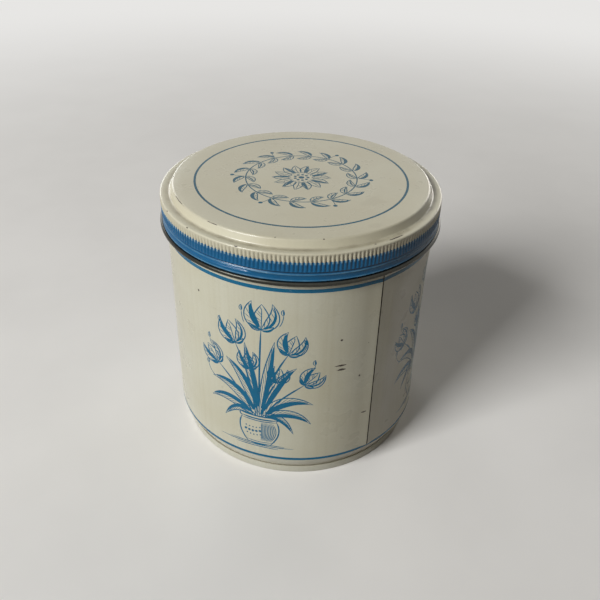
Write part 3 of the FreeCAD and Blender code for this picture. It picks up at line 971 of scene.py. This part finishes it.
def blue_paint(name, tone, shade):
    """Blue litho ink, a little uneven, rubbed at random and paler on the knurl crests by the print's edge,
    with painted shade in the groove under the knurls and painted highlights along the lips.
    """
    paint = Paint(name, specular=0.3)
    _, radius, height = paint.around()
    patches = paint.span(paint.noise(60.0, 4.0), 0.3, 0.7)
    colour = paint.mix(patches, tone, shade)
    darkening = paint.span(paint.noise(180.0, 3.0), 0.5, 0.8, 0.0, 0.25)
    darkening = paint.math("MAXIMUM", darkening, paint.math("MULTIPLY", flute_mask(paint, radius, height), 0.15))
    # Painted shade: a dark line in the rolled groove under the knurls
    groove = paint.span(paint.away(height, KNURL_FOOT - 0.25), 0.5, 0.25, 0.0, 0.8)
    colour = paint.mix(paint.math("MAXIMUM", darkening, groove), colour, ink(2, 34, 60))
    uneven = paint.span(paint.noise(260.0, 3.0), 0.3, 0.7, 0.3, 1.0)
    # Painted highlights, partly rubbed ink: pale lines along the lip under the knurls and the lip above the
    # hem
    lip_highlights = 0.0
    for level in (KNURL_FOOT - 1.06, HEM_TOP + 0.36):
        lip = paint.span(paint.away(height, level), 0.32, 0.12, 0.0, 0.5)
        lip_highlights = paint.math("MAXIMUM", lip_highlights, lip)
    colour = paint.mix(paint.math("MULTIPLY", lip_highlights, uneven), colour, ink(112, 160, 184))
    crest = paint.span(radius, KNURL - 0.14, KNURL - 0.03)
    crest = paint.math("MULTIPLY", crest, paint.span(height, SKIRT_PRINT - 1.1, SKIRT_PRINT - 0.3, 0.0, 0.85))
    rubbed = paint.span(paint.noise(520.0, 4.0), 0.68, 0.78, 0.0, 0.3)
    colour = paint.mix(paint.math("MAXIMUM", rubbed, crest), colour, ink(146, 176, 186))
    roughness = paint.span(paint.noise(90.0, 3.0), 0.3, 0.7, 0.14, 0.28)
    return paint.finish(colour, roughness, paint.noise(300.0, 3.0), 0.00004, 0.2)


def gap_paint():
    """Dark open line of the lock seam."""
    paint = Paint("seam_gap", specular=0.2)
    dirt = paint.span(paint.noise(400.0, 3.0), 0.3, 0.7)
    return paint.finish(paint.mix(dirt, ink(26, 22, 18), ink(50, 42, 32)), 0.7)


def tin_paint(name, bright, dull, specked):
    """Bare tinplate with a dull bloom, rolling marks and a few rust specks."""
    paint = Paint(name, metallic=1.0)
    bloom = paint.span(paint.noise(26.0, 3.0), 0.3, 0.75)
    colour = paint.mix(bloom, bright, dull)
    rolled = paint.noise(1.0, 3.0, paint.stretch((900.0, 900.0, 40.0)))
    colour = paint.mix(paint.span(rolled, 0.35, 0.7, 0.0, 0.3), colour, dull)
    rust = paint.span(paint.noise(700.0, 3.0), 0.78 - specked, 0.84 - specked, 0.0, 0.6)
    colour = paint.mix(rust, colour, ink(84, 58, 40))
    dulled = paint.span(paint.noise(48.0, 4.0), 0.3, 0.7, 0.22, 0.4)
    roughness = paint.math("ADD", dulled, paint.math("MULTIPLY", rust, 0.4))
    return paint.finish(colour, roughness, paint.noise(800.0, 3.0), 0.00003, 0.25)


def board_paint():
    """Grey-brown pulpboard with short fibres."""
    paint = Paint("pulpboard", specular=0.2)
    fibres = paint.noise(1.0, 4.0, paint.stretch((2200.0, 500.0, 900.0)))
    colour = paint.mix(paint.span(fibres, 0.35, 0.7), ink(176, 160, 130), ink(206, 192, 162))
    flecks = paint.specks(900.0, 0.1, 0.3)
    colour = paint.mix(paint.math("MULTIPLY", flecks, 0.6), colour, ink(110, 92, 66))
    return paint.finish(colour, paint.span(fibres, 0.3, 0.7, 0.8, 0.95), fibres, 0.00008, 0.5)


def compound_paint():
    """Matt grey sealing compound."""
    paint = Paint("seam_compound", specular=0.3)
    lumps = paint.noise(900.0, 3.0)
    colour = paint.mix(paint.span(lumps, 0.3, 0.7), ink(96, 94, 90), ink(120, 117, 110))
    return paint.finish(colour, paint.span(lumps, 0.3, 0.7, 0.6, 0.8), lumps, 0.0001, 0.4)


wall_cream = cream_paint("wall_cream", WALL_MARKS, True, ink(206, 205, 186), ink(200, 197, 174))
lid_cream = cream_paint("lid_cream", LID_MARKS, False, ink(204, 200, 177), ink(198, 192, 167))
base_cream = cream_paint("base_cream", (), True, ink(206, 206, 190), ink(200, 198, 180), SEAM_TOP, 0.0)
wall_blue = blue_paint("wall_blue", ink(0, 96, 132), ink(2, 104, 142))
lid_blue = blue_paint("lid_blue", ink(0, 86, 130), ink(0, 94, 140))
lid_print = blue_paint("lid_print", ink(18, 82, 102), ink(26, 90, 110))
inner_tin = tin_paint("inner_tin", ink(196, 192, 180), ink(172, 166, 150), 0.08)
# The hem's tinplate is given dark colours: partly a blackened rolled edge, partly a painted dark reflection
hem_tin_and_painted_reflection = tin_paint("hem_tin_and_painted_reflection", ink(74, 74, 69), ink(48, 47, 42), 0.13)

wall = make_wall([wall_cream, wall_blue, inner_tin, gap_paint()])
base = make_base([base_cream, wall_blue, inner_tin])
lid = make_lid([lid_cream, lid_blue, hem_tin_and_painted_reflection, lid_print])

for piece, node, body, slot in (
    (wall, "body_wall", "canister", "wall_tin"),
    (base, "base_end", "canister", "base_tin"),
    (lid, "lid_shell", "lid", "lid_tin"),
):
    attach(piece, body)
    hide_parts(node)

for node, material in (("lid_liner", board_paint()), ("base_seal", compound_paint())):
    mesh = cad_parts[node].data
    mesh.materials.clear()
    mesh.materials.append(material)


# Floor, light and camera

BACKDROP = (1.0, 0.99, 0.97, 1)
BACKDROP_LEVEL = 0.8

# Half the floor's side in metres, radii in millimetres between which it fades into the surroundings, and
# the point in millimetres that the lamps look at
FLOOR_HALF = 6.0
FLOOR_FADE = (240.0, 900.0)
LAMP_TARGET = (0, 0, 55.0)


def add_floor():
    """Plain pale floor, which turns into the pale surroundings far from the tin."""
    paint = Paint("floor", specular=0.0)
    tone = paint.span(paint.noise(14.0, 3.0), 0.3, 0.7)
    pale = paint.mix(tone, ink(236, 234, 230), ink(240, 238, 234))
    rays = paint.tree.nodes.new("ShaderNodeLightPath").outputs
    seen = paint.math("MAXIMUM", rays["Is Camera Ray"], rays["Is Glossy Ray"])
    seen = paint.math("MAXIMUM", seen, rays["Is Transmission Ray"])
    _, radius, _ = paint.around()
    far = paint.math("MULTIPLY", seen, paint.span(radius, *FLOOR_FADE))
    colour = paint.mix(seen, ink(124, 114, 104), pale)
    material = paint.finish(paint.mix(far, colour, (0, 0, 0, 1)), 0.8)
    paint.shader.inputs["Emission Color"].default_value = BACKDROP
    paint.put(paint.math("MULTIPLY", far, BACKDROP_LEVEL), paint.shader.inputs["Emission Strength"])
    mesh = bpy.data.meshes.new("floor")
    corners = [(x * FLOOR_HALF, y * FLOOR_HALF, 0) for x, y in ((-1, -1), (1, -1), (1, 1), (-1, 1))]
    mesh.from_pydata(corners, [], [(0, 1, 2, 3)])
    mesh.materials.append(material)
    floor = bpy.data.objects.new("floor", mesh)
    bpy.context.scene.collection.objects.link(floor)


def add_lamp(name, azimuth, elevation, distance, size, power, colour):
    """Soft square lamp that looks at the tin, at a camera-style azimuth and elevation."""
    data = bpy.data.lights.new(name, "AREA")
    data.shape = "SQUARE"
    data.size = size
    data.energy = power
    data.color = colour
    lamp = bpy.data.objects.new(name, data)
    across, rise = math.radians(azimuth), math.radians(elevation)
    offset = Vector((math.sin(across) * math.cos(rise), -math.cos(across) * math.cos(rise), math.sin(rise)))
    target = Vector(LAMP_TARGET) * MM
    lamp.location = target + offset * distance
    lamp.rotation_euler = (-offset).to_track_quat("-Z", "Y").to_euler()
    bpy.context.scene.collection.objects.link(lamp)


def add_world(strength):
    """Pale surroundings for the eye and for reflections, which light the tin only a little."""
    world = bpy.data.worlds.new("studio")
    world.use_nodes = True
    nodes, links = world.node_tree.nodes, world.node_tree.links
    background = nodes["Background"]
    background.inputs["Color"].default_value = BACKDROP
    rays = nodes.new("ShaderNodeLightPath").outputs
    seen = rays["Is Camera Ray"]
    for kind in ("Is Glossy Ray", "Is Transmission Ray"):
        either = nodes.new("ShaderNodeMath")
        either.operation = "MAXIMUM"
        links.new(seen, either.inputs[0])
        links.new(rays[kind], either.inputs[1])
        seen = either.outputs[0]
    level = nodes.new("ShaderNodeMapRange")
    level.inputs["To Min"].default_value = strength
    level.inputs["To Max"].default_value = BACKDROP_LEVEL
    links.new(seen, level.inputs["Value"])
    links.new(level.outputs[0], background.inputs["Strength"])
    bpy.context.scene.world = world


def add_camera():
    """Camera that sees the tin as the photo does."""
    level = Vector((math.sin(CAMERA_YAW), math.cos(CAMERA_YAW), 0))
    ahead = level * math.cos(CAMERA_PITCH) - Vector((0, 0, math.sin(CAMERA_PITCH)))
    right = Vector((level.y, -level.x, 0))
    above = right.cross(ahead)
    across = right * math.cos(CAMERA_ROLL) + above * math.sin(CAMERA_ROLL)
    up = above * math.cos(CAMERA_ROLL) - right * math.sin(CAMERA_ROLL)
    data = bpy.data.cameras.new("camera")
    data.lens = CAMERA_LENS
    data.sensor_width = 36
    data.clip_start = 0.01
    camera = bpy.data.objects.new("camera", data)
    turn = Matrix((across, up, -ahead)).transposed()
    camera.matrix_world = Matrix.Translation(Vector(CAMERA_PLACE) * MM) @ turn.to_4x4()
    bpy.context.scene.collection.objects.link(camera)
    bpy.context.scene.camera = camera


add_floor()
add_lamp("window", -49, 33, 2.2, 0.9, 48.0, (1.0, 1.0, 1.0))
add_lamp("back_left", -152, 14, 2.2, 0.9, 8.0, (0.96, 0.98, 1.0))
add_lamp("back_right", 150, 14, 2.2, 0.9, 11.0, (1.0, 0.95, 0.88))
add_world(0.07)
add_camera()
bpy.context.scene.view_settings.view_transform = "Standard"
